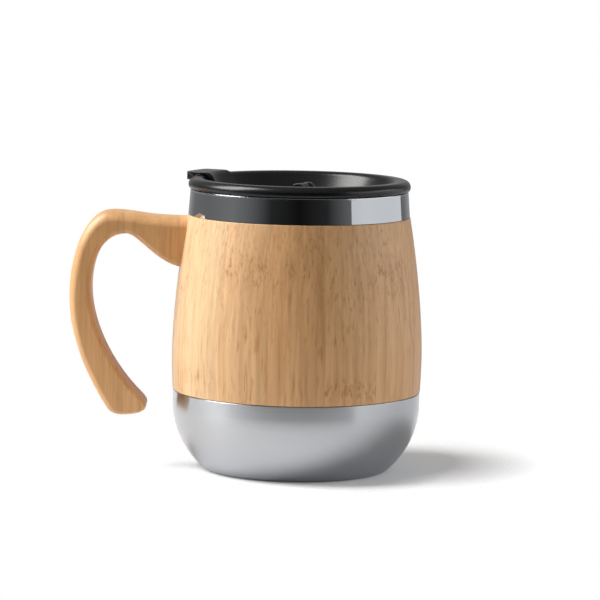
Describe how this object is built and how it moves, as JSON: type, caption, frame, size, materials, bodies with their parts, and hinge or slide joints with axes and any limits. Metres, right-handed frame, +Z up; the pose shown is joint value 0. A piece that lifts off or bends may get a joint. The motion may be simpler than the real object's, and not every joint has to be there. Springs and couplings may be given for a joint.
{
  "type": "insulated mug",
  "caption": "Barrel-shaped steel mug in a turned bamboo sleeve, with an open bamboo hook handle and a black push-in lid whose hinged flap closes the sip hole.",
  "frame": {"origin": "centre of the base's flat underside, on the mug's axis", "axes": "+Z up along the mug's axis, the handle points to -X, and the camera of the picture looks along +Y"},
  "size_m": [0.1268, 0.09, 0.1059],
  "materials": {
    "liner_steel": "satin drawn steel",
    "polished_steel": "mirror polish",
    "satin_steel": "fine satin",
    "bamboo": "oiled, upright laminations",
    "handle_bamboo": "oiled, sanded edges",
    "screw_steel": "plain",
    "black_plastic": "satin moulded",
    "silicone": "soft matt"
  },
  "bodies": {
    "mug": {"inner_liner": "liner_steel", "outer_wall": "polished_steel", "bamboo_sleeve": "bamboo", "base_cup": "satin_steel", "handle": "handle_bamboo", "handle_screw_upper": "screw_steel", "handle_screw_lower": "screw_steel"},
    "lid": {"lid_body": "black_plastic", "lid_gasket": "silicone", "hinge_pin": "screw_steel"},
    "flap": {"sip_flap": "black_plastic", "flap_plug": "silicone"}
  },
  "joints": [
    {"name": "lid_lift", "type": "slide", "parent": "mug", "child": "lid", "axis": [0, 0, 1], "range_m": [0, 0.03]},
    {"name": "flap_hinge", "type": "hinge", "parent": "lid", "child": "flap", "pos_m": [0.00109, -0.00051, 0.101], "axis": [0.4226, 0.9063, 0], "range_deg": [0, 150]}
  ]
}
